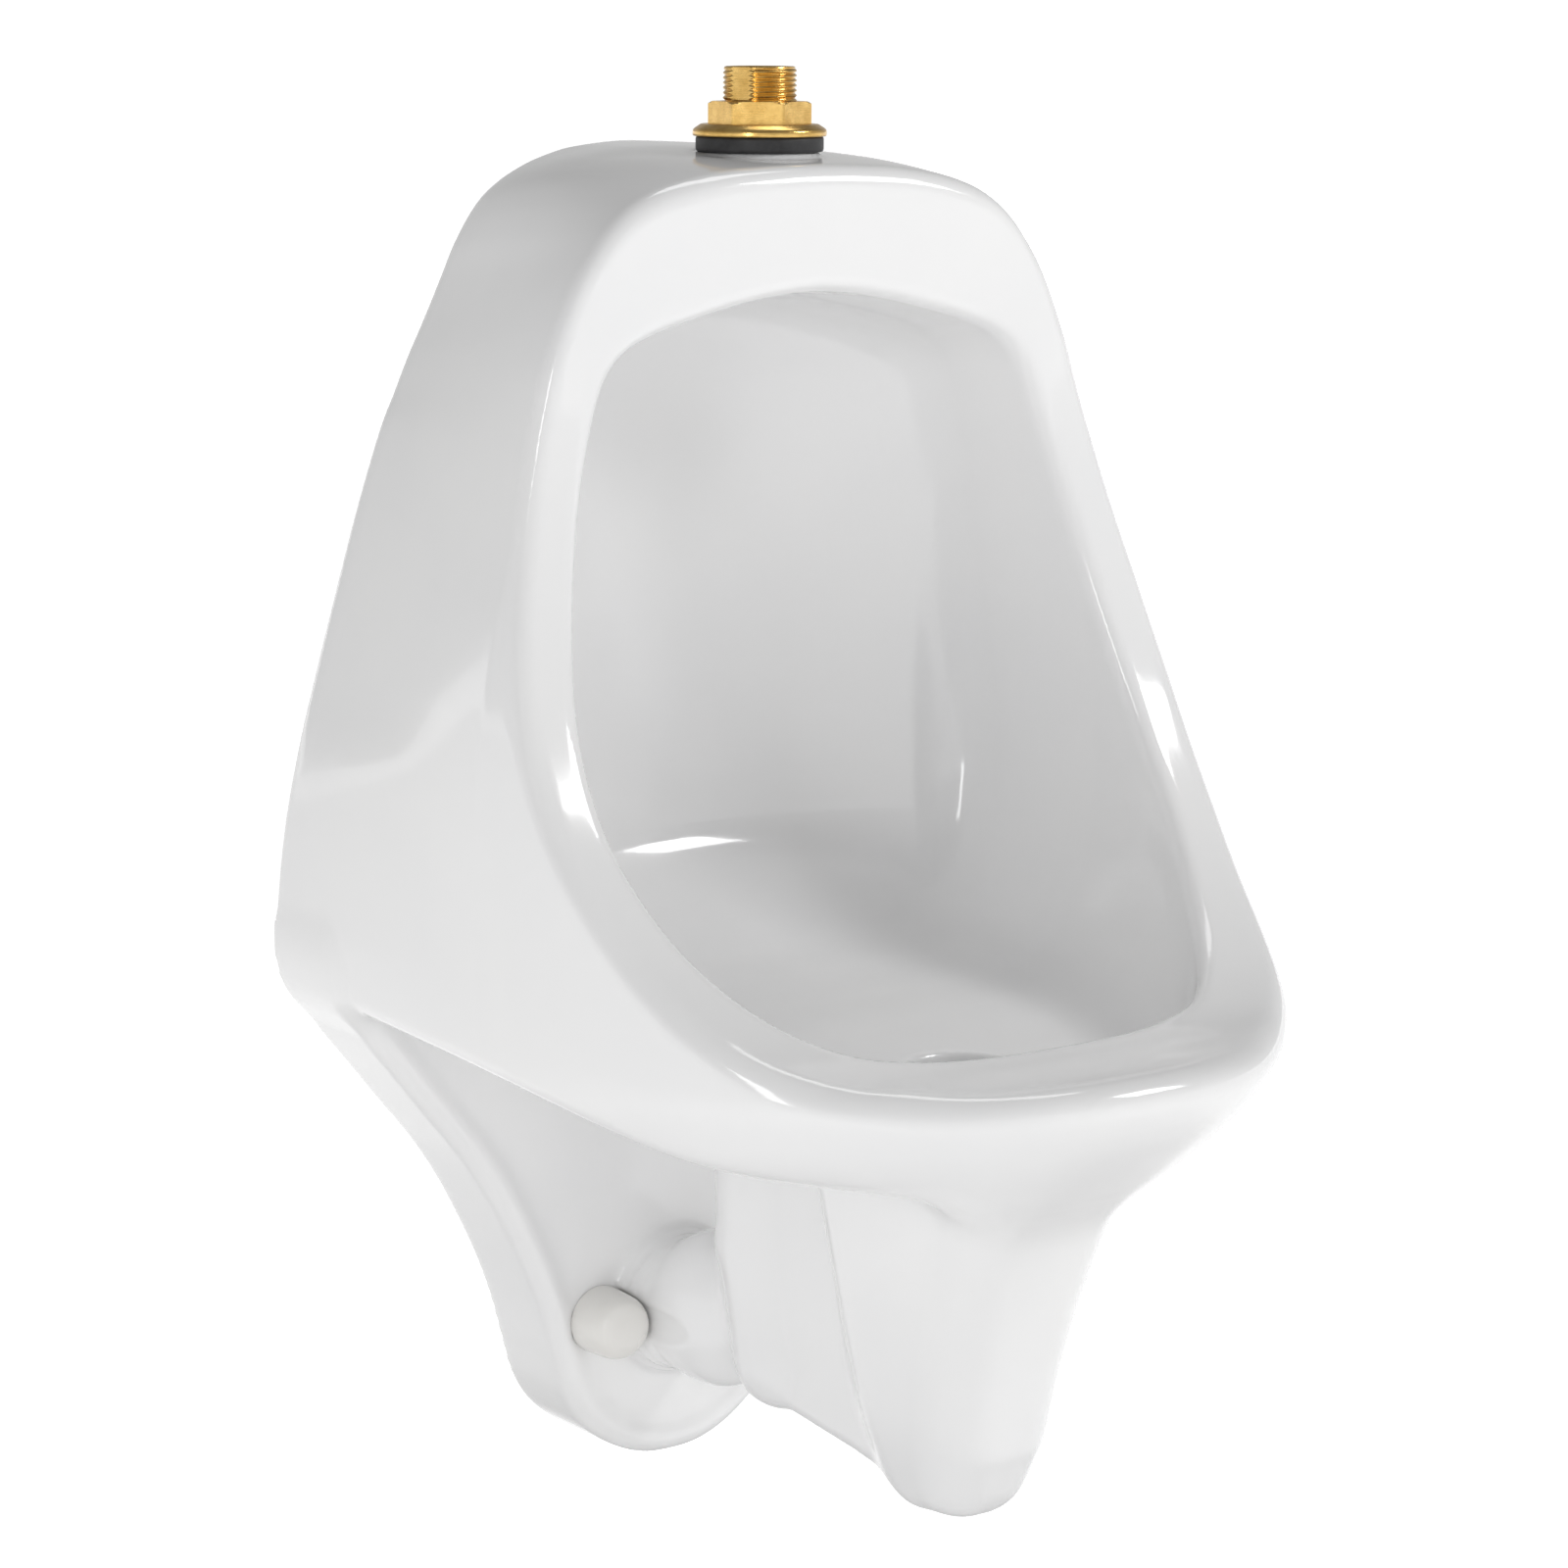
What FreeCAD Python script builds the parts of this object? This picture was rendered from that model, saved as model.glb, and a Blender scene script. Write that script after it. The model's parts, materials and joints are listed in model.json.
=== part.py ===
import FreeCAD, Part
import os, math
from FreeCAD import Vector as V

os.makedirs("parts", exist_ok=True)

# ---------------------------------------------------------------- driving dimensions (mm)
# frame: X across (0 = symmetry plane), -Y out of the wall (wall = Y 0), Z up,
# origin at the centre of the waste outlet on the wall plane
OUTLET_DROP = 555.0        # china top under the spud, above the outlet centre
SPUD_DEPTH = 118.0         # spud axis in front of the wall
PLATE_T = 51.0             # thickness of the china plate that hangs below the bowl
BOLT_X = 44.0              # outlet bolts, each side of the outlet
BOLT_HOLE_R = 5.5
OUTLET_HORN_R = 21.0       # china outlet passage
TRAP_R = 16.0              # trapway passage
SPUD_HOLE_R = 20.5         # spud hole in the china
SPUD_TUBE_R = 16.7         # 3/4 in spud: 1 in straight pipe thread outside
SPUD_BORE_R = 12.2
SPUD_TOP = 38.0            # spud tube above the china
CHINA_T = 13.0             # china wall at the spud
DRAIN_D = 285.0            # drain centre in front of the wall
DRAIN_HOLE_R = 24.0
HANGER_X = 88.0            # wall hangers, each side
HANGER_Z = -150.0          # hanger hook height below the china top
CAP_R = 16.5
WALL_CLEAR = 0.3

# profile of the front face in depth and height, from the top edge to the lip
FACE = [(168, 40), (168, -11), (166, -50), (166, -84), (169, -125), (177, -167), (188, -208), (202, -245),
        (220, -277), (241, -304), (264, -328), (288, -347), (311, -361), (334, -370), (355, -373),
        (374, -374), (398, -371), (420, -369)]
# half outlines seen from the front (x, z), at the wall and at the front face
BACK = [(0, 2), (27, -0.5), (41, -4), (54, -9), (68, -17), (79, -27), (90, -43), (98, -59), (107, -77), (116, -94),
        (124, -111), (132, -128), (145, -164), (156, -199), (167, -235), (177, -270), (185, -306), (189.5, -342),
        (188, -361), (182, -385), (170, -425), (160, -475)]
MID = [(0, 1), (30, 0.5), (55, -1.5), (72, -5), (86, -11), (97, -21), (106, -34), (113, -48), (122, -66), (131, -86),
       (140, -110), (147, -132), (157, -168), (166, -202), (175, -238), (183, -272), (188, -308), (190, -343),
       (189, -362), (185, -385), (175, -425), (168, -475)]
FRONT = [(0, -5), (30, -6), (52, -8), (74, -12), (94, -18), (109, -27), (122, -40), (132, -54), (140, -70), (147, -88),
         (152, -106), (157, -125), (167, -165), (177, -205), (185, -245), (188, -280), (188.5, -310), (188, -345),
         (187, -365), (185, -385), (181, -425), (178, -475)]
# half plan outline of the rim (x, depth)
PLAN = [(0, 402), (25, 400.5), (45, 396), (66, 388), (89, 375), (112, 357), (134, 335), (153, 312), (170, 286),
        (184, 260), (199, 233), (211, 205), (218, 170), (220, 120), (220, 0), (220, -30)]
# underside of the bowl skirt (depth, z)
UNDER = [(430, -440), (350, -434), (314, -425), (284, -417), (247, -406), (205, -397), (160, -392), (100, -388),
         (50, -386), (-40, -386)]
# bowl opening, half outline from the front (x, z), and the sweep of back wall and floor
OPEN = [(0, -60), (22, -61.5), (44, -65), (66, -70), (88, -76), (104, -83), (114, -93), (120, -106), (126, -125),
        (132, -146), (137, -168), (144, -200), (152, -235), (157, -262), (159, -285), (158, -306), (152, -330),
        (140, -352), (126, -375), (110, -396), (92, -412), (60, -425), (0, -430)]
SWEEP = [(96, -40), (92, -80), (84, -165), (80, -230), (80, -290), (83, -328), (92, -354), (110, -369), (136, -377),
         (170, -382), (205, -386), (255, -393), (300, -400), (318, -399), (330, -391), (338, -377), (344, -352), (344, -200),
         (344, -40)]
# plan outline of the inside at lip level (x, depth)
INPLAN = [(0, 338), (25, 337), (45, 334), (66, 327), (88, 318), (106, 305), (124, 286), (138, 265), (150, 240),
          (158, 215), (164, 180), (170, 120), (176, 40), (180, -20)]
# plate below the bowl, half outline (x, z)
PLATE = [(150, -330), (182, -356), (180, -382), (169, -402), (153, -422), (136, -443), (118, -465), (104, -486), (92, -508), (82, -529),
         (74, -550), (68, -571), (62, -591), (52, -607), (36, -620), (18, -628), (0, -630)]
# trap chamber in front: z, depth of rear, depth of front, half width
BEAK = [(-395, 206, 366, 62), (-425, 208, 350, 54), (-445, 210, 339, 48), (-484, 214, 325, 42),
        (-522, 221, 314, 38), (-555, 230, 307, 34), (-578, 241, 301, 28), (-592, 253, 294, 20), (-598.5, 266, 286, 9)]

ZT = OUTLET_DROP


def P(x, d, z):
    return V(x, -d, z + ZT)


def closed_spline(pts):
    c = Part.BSplineCurve()
    c.interpolate(Points=pts, PeriodicFlag=True)
    return Part.Wire([c.toShape()])


def open_spline(pts):
    c = Part.BSplineCurve()
    c.interpolate(pts)
    return c.toShape()


def mirror_half(h, f):
    """Closed wire through a half outline and its mirror: spline down each flank, straight across the end."""
    right = [f(x, b) for x, b in h]
    left = [f(-x, b) for x, b in h]
    path = left[::-1] + right[1:]
    if abs(h[-1][0]) < 1e-6:
        return closed_spline(path[1:])
    sp = open_spline(path)
    e = Part.LineSegment(path[-1], path[0]).toShape()
    return Part.Wire([sp, e])


def loft(wires, ruled=False):
    return Part.makeLoft(wires, True, ruled)


def prism(wire, vec):
    return Part.Face(wire).extrude(vec)


def cyl(p, axis, r, h):
    return Part.makeCylinder(r, h, p, axis)


def ring(p, axis, r0, r1, h):
    return cyl(p, axis, r1, h).cut(cyl(p - axis * 1.0, axis, r0, h + 2.0))


def hexprism(p, r_af, h, axis=V(0, 0, 1)):
    """Hexagonal prism, r_af = half the distance across flats."""
    R = r_af / math.cos(math.pi / 6)
    pts = []
    for i in range(7):
        a = math.pi / 3 * i
        pts.append(V(R * math.cos(a), R * math.sin(a), 0))
    s = prism(Part.makePolygon(pts), V(0, 0, h))
    s.Placement = FreeCAD.Placement(p, FreeCAD.Rotation(V(0, 0, 1), axis))
    return s


def rrect(z, d0, d1, a, r):
    """Rounded rectangle in plan at height z."""
    r = min(r, a * 0.96, (d1 - d0) / 2 * 0.96)
    pts = []
    for cx, cd, a0 in ((a - r, d1 - r, 0), (-a + r, d1 - r, 90), (-a + r, d0 + r, 180), (a - r, d0 + r, 270)):
        for k in range(0, 5):
            t = math.radians(a0 + 90 * k / 4)
            pts.append(P(cx + r * math.cos(t), cd + r * math.sin(t), z))
    return closed_spline(pts)


X = V(1, 0, 0); Y = V(0, 1, 0); Z = V(0, 0, 1)

# ---------------------------------------------------------------- china body
# outer block: flanks between the wall outline and the front outline, cut by the front face
# profile, the plan outline of the rim and the underside of the skirt
flank = loft([mirror_half(BACK, lambda x, z: P(x, 0, z)), mirror_half(MID, lambda x, z: P(x, 95, z)),
              mirror_half(FRONT, lambda x, z: P(x, 168, z))], True)
flank2 = prism(mirror_half(FRONT, lambda x, z: P(x, 168, z)), V(0, -262, 0))
flank = flank.fuse(flank2)

side_pts = [P(-230, d, z) for d, z in FACE]
e1 = open_spline(side_pts[1:])
low = [P(-230, d, z) for d, z in UNDER]
e2 = open_spline(low)
prof = Part.Wire([Part.LineSegment(P(-230, -60, 40), side_pts[0]).toShape(),
                  Part.LineSegment(side_pts[0], side_pts[1]).toShape(), e1,
                  Part.LineSegment(side_pts[-1], low[0]).toShape(), e2,
                  Part.LineSegment(low[-1], P(-230, -60, -386)).toShape(),
                  Part.LineSegment(P(-230, -60, -386), P(-230, -60, 40)).toShape()])
profile = prism(prof, V(460, 0, 0))


def plan_wire(scale, z):
    return mirror_half(PLAN, lambda x, d: P(x * scale, 120 + (d - 120) * scale if d > 120 else d, z))


upper = prism(plan_wire(1.0, 40), V(0, 0, -400 - 0))
skirt = loft([plan_wire(1.0, -360), plan_wire(0.985, -392), plan_wire(0.955, -412), plan_wire(0.90, -430),
              plan_wire(0.84, -446)], True)
plan = upper.fuse(skirt)
block = flank.common(profile)
block = block.common(upper.cut(Part.makeBox(600, 600, 300, V(-300, -500, -360 - 300 + ZT)))).fuse(
    block.common(skirt))
block = block.removeSplitter()

# plate with the outlet, trap chamber, trap web, rising leg and outlet boss
plate = prism(mirror_half(PLATE[::-1], lambda x, z: P(x, 0, z)), V(0, -PLATE_T, 0))
beak = loft([rrect(z, d0, d1, a, min(30, a * 0.8)) for z, d0, d1, a in BEAK], False)
web_pts = [(128, -380), (128, -560), (140, -573), (216, -582), (262, -590), (262, -380)]
web = prism(Part.makePolygon([P(-21, d, z) for d, z in web_pts + web_pts[:1]]), V(42, 0, 0))
leg_pts = [P(0, 129, -382), P(0, 131, -505), P(0, 146, -556)]
leg = cyl(leg_pts[0], (leg_pts[1] - leg_pts[0]).normalize(), 26.0, 123.1).fuse(
    cyl(leg_pts[1], (leg_pts[2] - leg_pts[1]).normalize(), 26.0, 53.0)).fuse(Part.makeSphere(26.02, leg_pts[1]))
leg_foot = Part.makeSphere(26.02, leg_pts[2])
boss = cyl(P(0, 20, -553), V(0, -1, 0), 29.5, 66).fuse(Part.makeSphere(30.5, P(0, 92, -543))).fuse(
    Part.makeSphere(30.0, P(0, 92, -552)))

china = block.fuse([plate, beak, web, leg, leg_foot, boss])

# bowl cavity
cav_a = loft([mirror_half([(x * 0.93, -60 + (z + 60) * 0.985 - 4) for x, z in OPEN], lambda x, z: P(x, 40, z)),
              mirror_half(OPEN, lambda x, z: P(x, 175, z))], True).fuse(
    prism(mirror_half(OPEN, lambda x, z: P(x, 175, z)), V(0, -262, 0)))
sw = [P(-230, d, z) for d, z in SWEEP]
cav_b = prism(Part.Wire([open_spline(sw[:-2]), Part.LineSegment(sw[-3], P(-230, 344, 60)).toShape(),
                         Part.LineSegment(P(-230, 344, 60), P(-230, 96, 60)).toShape(),
                         Part.LineSegment(P(-230, 96, 60), sw[0]).toShape()]), V(460, 0, 0))
cav_c = prism(mirror_half(INPLAN, lambda x, d: P(x, d, 60)), V(0, 0, -520))
# the concave back: a shallow vertical trough behind the sweep
trough = loft([Part.Wire([Part.makeCircle(95, P(0, 150, z), V(0, 0, 1))]) for z in (-66, -330)], True)
cavity = cav_a.common(cav_b.fuse(trough)).common(cav_c)
china = china.cut(cavity)

# flush water chamber in the header, spud hole and rim spray holes
chamber = Part.makeBox(120, 66, 28, P(-60, 152, -42))
china = china.cut(chamber)
china = china.cut(cyl(P(0, SPUD_DEPTH, -30), Z, SPUD_HOLE_R, 60))
# flat seat for the spud gasket and flange
china = china.cut(cyl(P(0, SPUD_DEPTH, 0.0), Z, 31.0, 30))
seat = cyl(P(0, SPUD_DEPTH, -CHINA_T), Z, 29.0, CHINA_T).cut(cyl(P(0, SPUD_DEPTH, -40), Z, SPUD_HOLE_R, 60))
china = china.fuse(seat)
for sx in (-45, -27, 27, 45):
    china = china.cut(cyl(P(sx, 112, -36), V(0, 0, -1), 2.6, 60))

# trapway: drain, falling leg, rising leg over the weir, outlet
path = [(DRAIN_D, -380), (DRAIN_D, -440), (278, -500), (262, -560), (222, -560), (147, -548), (133, -505), (110, -497),
        (86, -520), (60, -553)]
for i in range(len(path) - 1):
    a = P(0, *path[i]); b = P(0, *path[i + 1])
    rr = TRAP_R
    if i in (0,):
        rr = DRAIN_HOLE_R - 3
    v = b - a
    china = china.cut(cyl(a, v.normalize(), rr, (b - a).Length))
    china = china.cut(Part.makeSphere(rr + 0.05, b))
china = china.cut(cyl(P(0, 62, -ZT), Y, OUTLET_HORN_R, 80))
# strainer seat in the floor and the recess for the outlet flange in the back
SEAT_Z = -404.5
china = china.cut(cyl(P(0, DRAIN_D, SEAT_Z), Z, 37.0, 30))
china = china.cut(cyl(P(0, DRAIN_D, -430), Z, DRAIN_HOLE_R, 60))
flange_recess = Part.makeBox(120, 24, 40, V(-60, -24, -20)).fuse(cyl(V(0, 10, 0), V(0, -1, 0), 40.0, 34))
china = china.cut(flange_recess)
for s in (-1, 1):
    china = china.cut(cyl(V(s * BOLT_X, 10, 0), V(0, -1, 0), BOLT_HOLE_R, 80))
    # flat spot for the cap base
    china = china.cut(cyl(V(s * BOLT_X, -PLATE_T, 0), V(0, -1, 0), CAP_R + 0.8, 64))
    # hanger pocket with an undercut ledge
    px = s * HANGER_X
    china = china.cut(Part.makeBox(58, 20, 60, V(px - 29, -20, HANGER_Z + ZT - 40)))
    china = china.cut(Part.makeBox(48, 12, 20, V(px - 24, -20, HANGER_Z + ZT + 12)))
# plaster-cast hollow behind the bowl back, open to the wall, saves weight
hollow = Part.makeBox(170, 34, 96, V(-85, -34, ZT - 330))
china = china.cut(hollow)
# trim to the wall plane
china = china.cut(Part.makeBox(600, 100, 900, V(-300, 0, -200)))
china = china.removeSplitter()

nodes = {}
nodes["china_body"] = china

# ---------------------------------------------------------------- spud set
sx0 = P(0, SPUD_DEPTH, 0)


def threaded_tube(z0, z1, r_major, pitch, depth):
    """Straight tube with ring-cut thread crests (non-helical thread form)."""
    pts = [V(0, 0, z0), V(r_major - 0.8, 0, z0)]
    z = z0 + 0.8
    pts.append(V(r_major, 0, z))
    while z + pitch < z1 - 0.8:
        pts.append(V(r_major, 0, z + pitch * 0.25))
        pts.append(V(r_major - depth, 0, z + pitch * 0.6))
        z += pitch
        pts.append(V(r_major, 0, z))
    pts.append(V(r_major - 0.8, 0, z1))
    pts.append(V(0, 0, z1))
    pts.append(pts[0])
    f = Part.Face(Part.makePolygon(pts))
    return f.revolve(V(0, 0, 0), Z, 360)


GASKET_T = 7.0
COLLAR_T = 5.5
NUT_T = 10.0
tube = threaded_tube(GASKET_T + COLLAR_T + NUT_T + 0.2, SPUD_TOP, SPUD_TUBE_R, 2.2, 0.9)
tube = tube.fuse(Part.makeCylinder(SPUD_TUBE_R - 0.4, 26.3 + GASKET_T + COLLAR_T + NUT_T, V(0, 0, -26.0)))
tube = tube.fuse(Part.makeCylinder(28.0, 4.0, V(0, 0, -30.0)))
tube = tube.cut(Part.makeCylinder(SPUD_BORE_R, 90, V(0, 0, -40)))
tube = tube.cut(Part.makeCone(SPUD_BORE_R, SPUD_BORE_R + 1.6, 2.0, V(0, 0, SPUD_TOP - 2)))
# two lugs inside the mouth that take the tightening bar, and a flat down each side
for s in (-1, 1):
    lug = Part.makeBox(5.0, 5.0, 16.0, V(s * (SPUD_BORE_R - 0.6) - 2.5, -2.5, SPUD_TOP - 18))
    tube = tube.fuse(lug.common(Part.makeCylinder(SPUD_BORE_R + 1, 40, V(0, 0, SPUD_TOP - 30))))
    flat = Part.makeBox(9.0, 2.0, SPUD_TOP - 23.5, V(-4.5, s * (SPUD_TUBE_R - 0.9) - (0 if s > 0 else 2.0), 23.5))
    flat.rotate(V(0, 0, 0), Z, -18)
    tube = tube.cut(flat)
tube.translate(sx0)
nodes["spud_tube"] = tube

nut = hexprism(V(0, 0, GASKET_T + COLLAR_T), 20.3, NUT_T)
cone = Part.makeCone(26.0, 21.6, 5.0, V(0, 0, GASKET_T + COLLAR_T + NUT_T - 5.0)).fuse(
    Part.makeCylinder(26.0, NUT_T - 5.0, V(0, 0, GASKET_T + COLLAR_T)))
nut = nut.common(cone).cut(Part.makeCylinder(SPUD_TUBE_R + 0.05, 60, V(0, 0, -10)))
nut.translate(sx0)
nodes["spud_locknut"] = nut

col = Part.makeCylinder(30.4, 3.2, V(0, 0, GASKET_T)).fuse(
    Part.makeCone(30.4, 26.5, COLLAR_T - 3.2, V(0, 0, GASKET_T + 3.2)))
col = col.cut(Part.makeCylinder(SPUD_TUBE_R + 0.05, 60, V(0, 0, -10)))
col.translate(sx0)
nodes["spud_collar"] = col

nodes["spud_gasket"] = ring(sx0 + V(0, 0, 0), Z, SPUD_TUBE_R + 0.05, 29.0, GASKET_T)
ig = ring(sx0 + V(0, 0, -26.0), Z, SPUD_TUBE_R + 0.05, 27.0, 25.0 - CHINA_T)
ig = ig.fuse(ring(sx0 + V(0, 0, -14.0), Z, SPUD_TUBE_R + 0.05, SPUD_HOLE_R - 0.15, 13.0))
nodes["spud_inner_gasket"] = ig

# ---------------------------------------------------------------- drain strainer with its gasket
dz = P(0, DRAIN_D, SEAT_Z)
nodes["strainer_gasket"] = ring(dz, Z, DRAIN_HOLE_R, 36.0, 2.0)
st = Part.makeCylinder(35.0, 1.6, V(0, 0, 2.0))
for r, n in ((0, 1), (9.0, 6), (18.0, 12), (26.5, 16)):
    for k in range(n):
        a = 2 * math.pi * k / n
        st = st.cut(Part.makeCylinder(2.6, 10, V(r * math.cos(a), r * math.sin(a), -3)))
st = st.fuse(ring(V(0, 0, -6.0), Z, 21.2, 22.8, 8.2))
st.translate(dz)
nodes["drain_strainer"] = st

# ---------------------------------------------------------------- outlet flange, gasket, bolts
FL_T = 18.0
fl = Part.makeCylinder(33.0, FL_T, V(0, 0, 0))
ears = Part.makeBox(114, 34, 7.0, V(-57, -17, FL_T - 7.0))
fl = fl.fuse(ears)
for s in (-1, 1):
    fl = fl.cut(Part.makeCylinder(4.3, 30, V(s * BOLT_X, 0, -5)))
    fl = fl.cut(Part.makeBox(8.6 + 7.4, 17.0, 3.4, V(s * BOLT_X - 8, -8.5, FL_T - 7.0 - 0.01)))
fl = fl.cut(Part.makeCylinder(28.6, 40, V(0, 0, -5)))
fl.rotate(V(0, 0, 0), X, 90)      # +Z of the sketch now points out of the wall
nodes["outlet_flange"] = fl
gk = Part.makeCylinder(38.0, 24.0 - FL_T, V(0, 0, FL_T)).cut(Part.makeCylinder(OUTLET_HORN_R, 60, V(0, 0, 0)))
for s in (-1, 1):
    gk = gk.cut(Part.makeCylinder(6.5, 30, V(s * BOLT_X, 0, 0)))
gk.rotate(V(0, 0, 0), X, 90)
nodes["outlet_gasket"] = gk

BOLT_R = 3.95
bolts, washers, nuts = [], [], []
for s in (-1, 1):
    b = Part.makeBox(15.0, 8.0, 3.2, V(-7.5, -4.0, FL_T - 7.0)).fuse(
        threaded_tube(FL_T - 5.0, PLATE_T + 19.0, BOLT_R, 1.6, 0.55))
    b.rotate(V(0, 0, 0), X, 90); b.translate(V(s * BOLT_X, 0, 0)); bolts.append(b)
    w = Part.makeCylinder(11.0, 1.6, V(0, 0, PLATE_T + 3.0)).cut(Part.makeCylinder(BOLT_R + 0.1, 90, V(0, 0, 0)))
    w.rotate(V(0, 0, 0), X, 90); w.translate(V(s * BOLT_X, 0, 0)); washers.append(w)
    n = hexprism(V(0, 0, PLATE_T + 4.6), 6.5, 6.5).cut(Part.makeCylinder(BOLT_R + 0.05, 90, V(0, 0, 0)))
    n.rotate(V(0, 0, 0), X, 90); n.translate(V(s * BOLT_X, 0, 0)); nuts.append(n)
nodes["outlet_bolts"] = Part.makeCompound(bolts)
nodes["outlet_bolt_washers"] = Part.makeCompound(washers)
nodes["outlet_bolt_nuts"] = Part.makeCompound(nuts)

for s, side in ((-1, "left"), (1, "right")):
    base = Part.makeCylinder(CAP_R - 2.2, 3.0, V(0, 0, PLATE_T)).fuse(
        ring(V(0, 0, PLATE_T + 3.0), Z, CAP_R - 4.2, CAP_R - 2.6, 3.6))
    base = base.cut(Part.makeCylinder(BOLT_R + 0.3, 90, V(0, 0, 0)))
    base.rotate(V(0, 0, 0), X, 90); base.translate(V(s * BOLT_X, 0, 0))
    nodes["cap_base_" + side] = base
    # cap: slightly flared skirt with a large round front edge, thin walled
    H = 25.0
    z0 = PLATE_T + 0.4
    outer = Part.makeCone(CAP_R, CAP_R - 1.0, H, V(0, 0, z0))
    outer = outer.makeFillet(7.0, [e for e in outer.Edges if e.BoundBox.ZMin > z0 + H - 0.01 and e.BoundBox.ZMax < z0 + H + 0.01])
    inner = Part.makeCone(CAP_R - 1.9, CAP_R - 2.9, H - 2.0, V(0, 0, z0))
    inner = inner.makeFillet(5.0, [e for e in inner.Edges if e.BoundBox.ZMin > z0 + H - 2.01 and e.BoundBox.ZMax < z0 + H - 1.99])
    inner = inner.fuse(Part.makeCylinder(CAP_R - 1.9, 2.0, V(0, 0, z0 - 1.5)))
    cap = outer.cut(inner)
    cap = cap.Solids[0]
    cap.rotate(V(0, 0, 0), X, 90); cap.translate(V(s * BOLT_X, 0, 0))
    nodes["bolt_cap_" + side] = cap

# ---------------------------------------------------------------- wall hangers and their screws
screws = []
for s, side in ((-1, "left"), (1, "right")):
    px = s * HANGER_X
    zc = HANGER_Z + ZT
    h = Part.makeBox(46, 4.0, 49.5, V(px - 23, -4.0, zc - 30))
    h = h.fuse(Part.makeBox(46, 16.0, 4.0, V(px - 23, -16.0, zc + 15.5)))
    h = h.fuse(Part.makeBox(46, 4.0, 14.0, V(px - 23, -16.0, zc + 15.5)))
    for sx in (-13, 13):
        h = h.cut(cyl(V(px + sx, 5, zc - 12), V(0, -1, 0), 3.1, 20))
    nodes["wall_hanger_" + side] = h
    for sx in (-13, 13):
        sc = cyl(V(px + sx, 0, zc - 12), V(0, -1, 0), 3.0, 5.0)
        head = hexprism(V(0, 0, 0), 5.0, 4.0, V(0, -1, 0))
        head.translate(V(px + sx, -4.0, zc - 12))
        screws.append(sc.fuse(head))
nodes["hanger_screws"] = Part.makeCompound(screws)

for name, s in nodes.items():
    sol = s.Solids
    if s.ShapeType != "Solid":
        s = sol[0] if len(sol) == 1 else Part.makeCompound(sol)
    ok = s.isValid()
    bb = s.BoundBox
    print("%-22s solids %d valid %s vol %.1f cm3 box x %.1f..%.1f y %.1f..%.1f z %.1f..%.1f" % (
        name, len(sol), ok, s.Volume / 1000.0, bb.XMin, bb.XMax, bb.YMin, bb.YMax, bb.ZMin, bb.ZMax))
    s.exportStep("parts/%s.step" % name)
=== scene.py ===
import bpy, bmesh, json, math
import numpy as np
from mathutils import Vector, Matrix


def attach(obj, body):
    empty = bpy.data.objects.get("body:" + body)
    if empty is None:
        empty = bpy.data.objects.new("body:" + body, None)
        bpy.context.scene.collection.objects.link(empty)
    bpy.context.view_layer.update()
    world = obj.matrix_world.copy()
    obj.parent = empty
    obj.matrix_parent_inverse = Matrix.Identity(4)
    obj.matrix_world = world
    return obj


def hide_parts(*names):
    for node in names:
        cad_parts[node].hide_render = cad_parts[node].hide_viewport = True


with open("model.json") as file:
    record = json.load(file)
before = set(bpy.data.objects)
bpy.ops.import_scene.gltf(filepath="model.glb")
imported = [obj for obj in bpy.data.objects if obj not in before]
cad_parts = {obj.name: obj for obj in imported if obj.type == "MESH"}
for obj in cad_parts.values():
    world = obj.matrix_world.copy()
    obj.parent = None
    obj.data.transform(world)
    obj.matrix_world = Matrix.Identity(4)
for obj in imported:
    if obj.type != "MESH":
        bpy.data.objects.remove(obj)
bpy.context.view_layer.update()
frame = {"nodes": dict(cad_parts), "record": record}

# ------------------------------------------------------------------ dimensions (mm, depth d = -Y, z = 0 at the china top)
ZT = 555.0
PLATE_T = 51.0
BOLT_X = 44.0
CAP_R = 16.5
SPUD_D = 118.0
DRAIN_D = 285.0
SEAT_Z = -404.5
H = 2.2      # grid step of the china surface

FACE = [(168, -11), (166, -50), (166, -84), (169, -125), (177, -167), (188, -208), (202, -245),
        (220, -277), (241, -304), (264, -328), (288, -347), (311, -361), (334, -370), (355, -373),
        (374, -374), (398, -371), (420, -369)]
BACK = [(0, 2), (27, -0.5), (41, -4), (54, -9), (68, -17), (79, -27), (90, -43), (98, -59), (107, -77), (116, -94),
        (124, -111), (132, -128), (145, -164), (156, -199), (167, -235), (177, -270), (185, -306), (189.5, -342),
        (188, -361), (182, -385), (170, -425), (160, -475)]
MID = [(0, 1), (30, 0.5), (55, -1.5), (72, -5), (86, -11), (97, -21), (106, -34), (113, -48), (122, -66), (131, -86),
       (140, -110), (147, -132), (157, -168), (166, -202), (175, -238), (183, -272), (188, -308), (190, -343),
       (189, -362), (185, -385), (175, -425), (168, -475)]
FRONT = [(0, -5), (30, -6), (52, -8), (74, -12), (94, -18), (109, -27), (122, -40), (132, -54), (140, -70), (147, -88),
         (152, -106), (157, -125), (167, -165), (177, -205), (185, -245), (188, -280), (188.5, -310), (188, -345),
         (187, -365), (185, -385), (181, -425), (178, -475)]
PLAN = [(0, 402), (25, 400.5), (45, 396), (66, 388), (89, 375), (112, 357), (134, 335), (153, 312), (170, 286),
        (184, 260), (199, 233), (211, 205), (218, 170), (220, 120), (220, 0), (220, -30)]
UNDER = [(430, -440), (350, -434), (314, -425), (284, -417), (247, -406), (205, -397), (160, -392), (100, -388),
         (50, -386), (-40, -386)]
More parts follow.
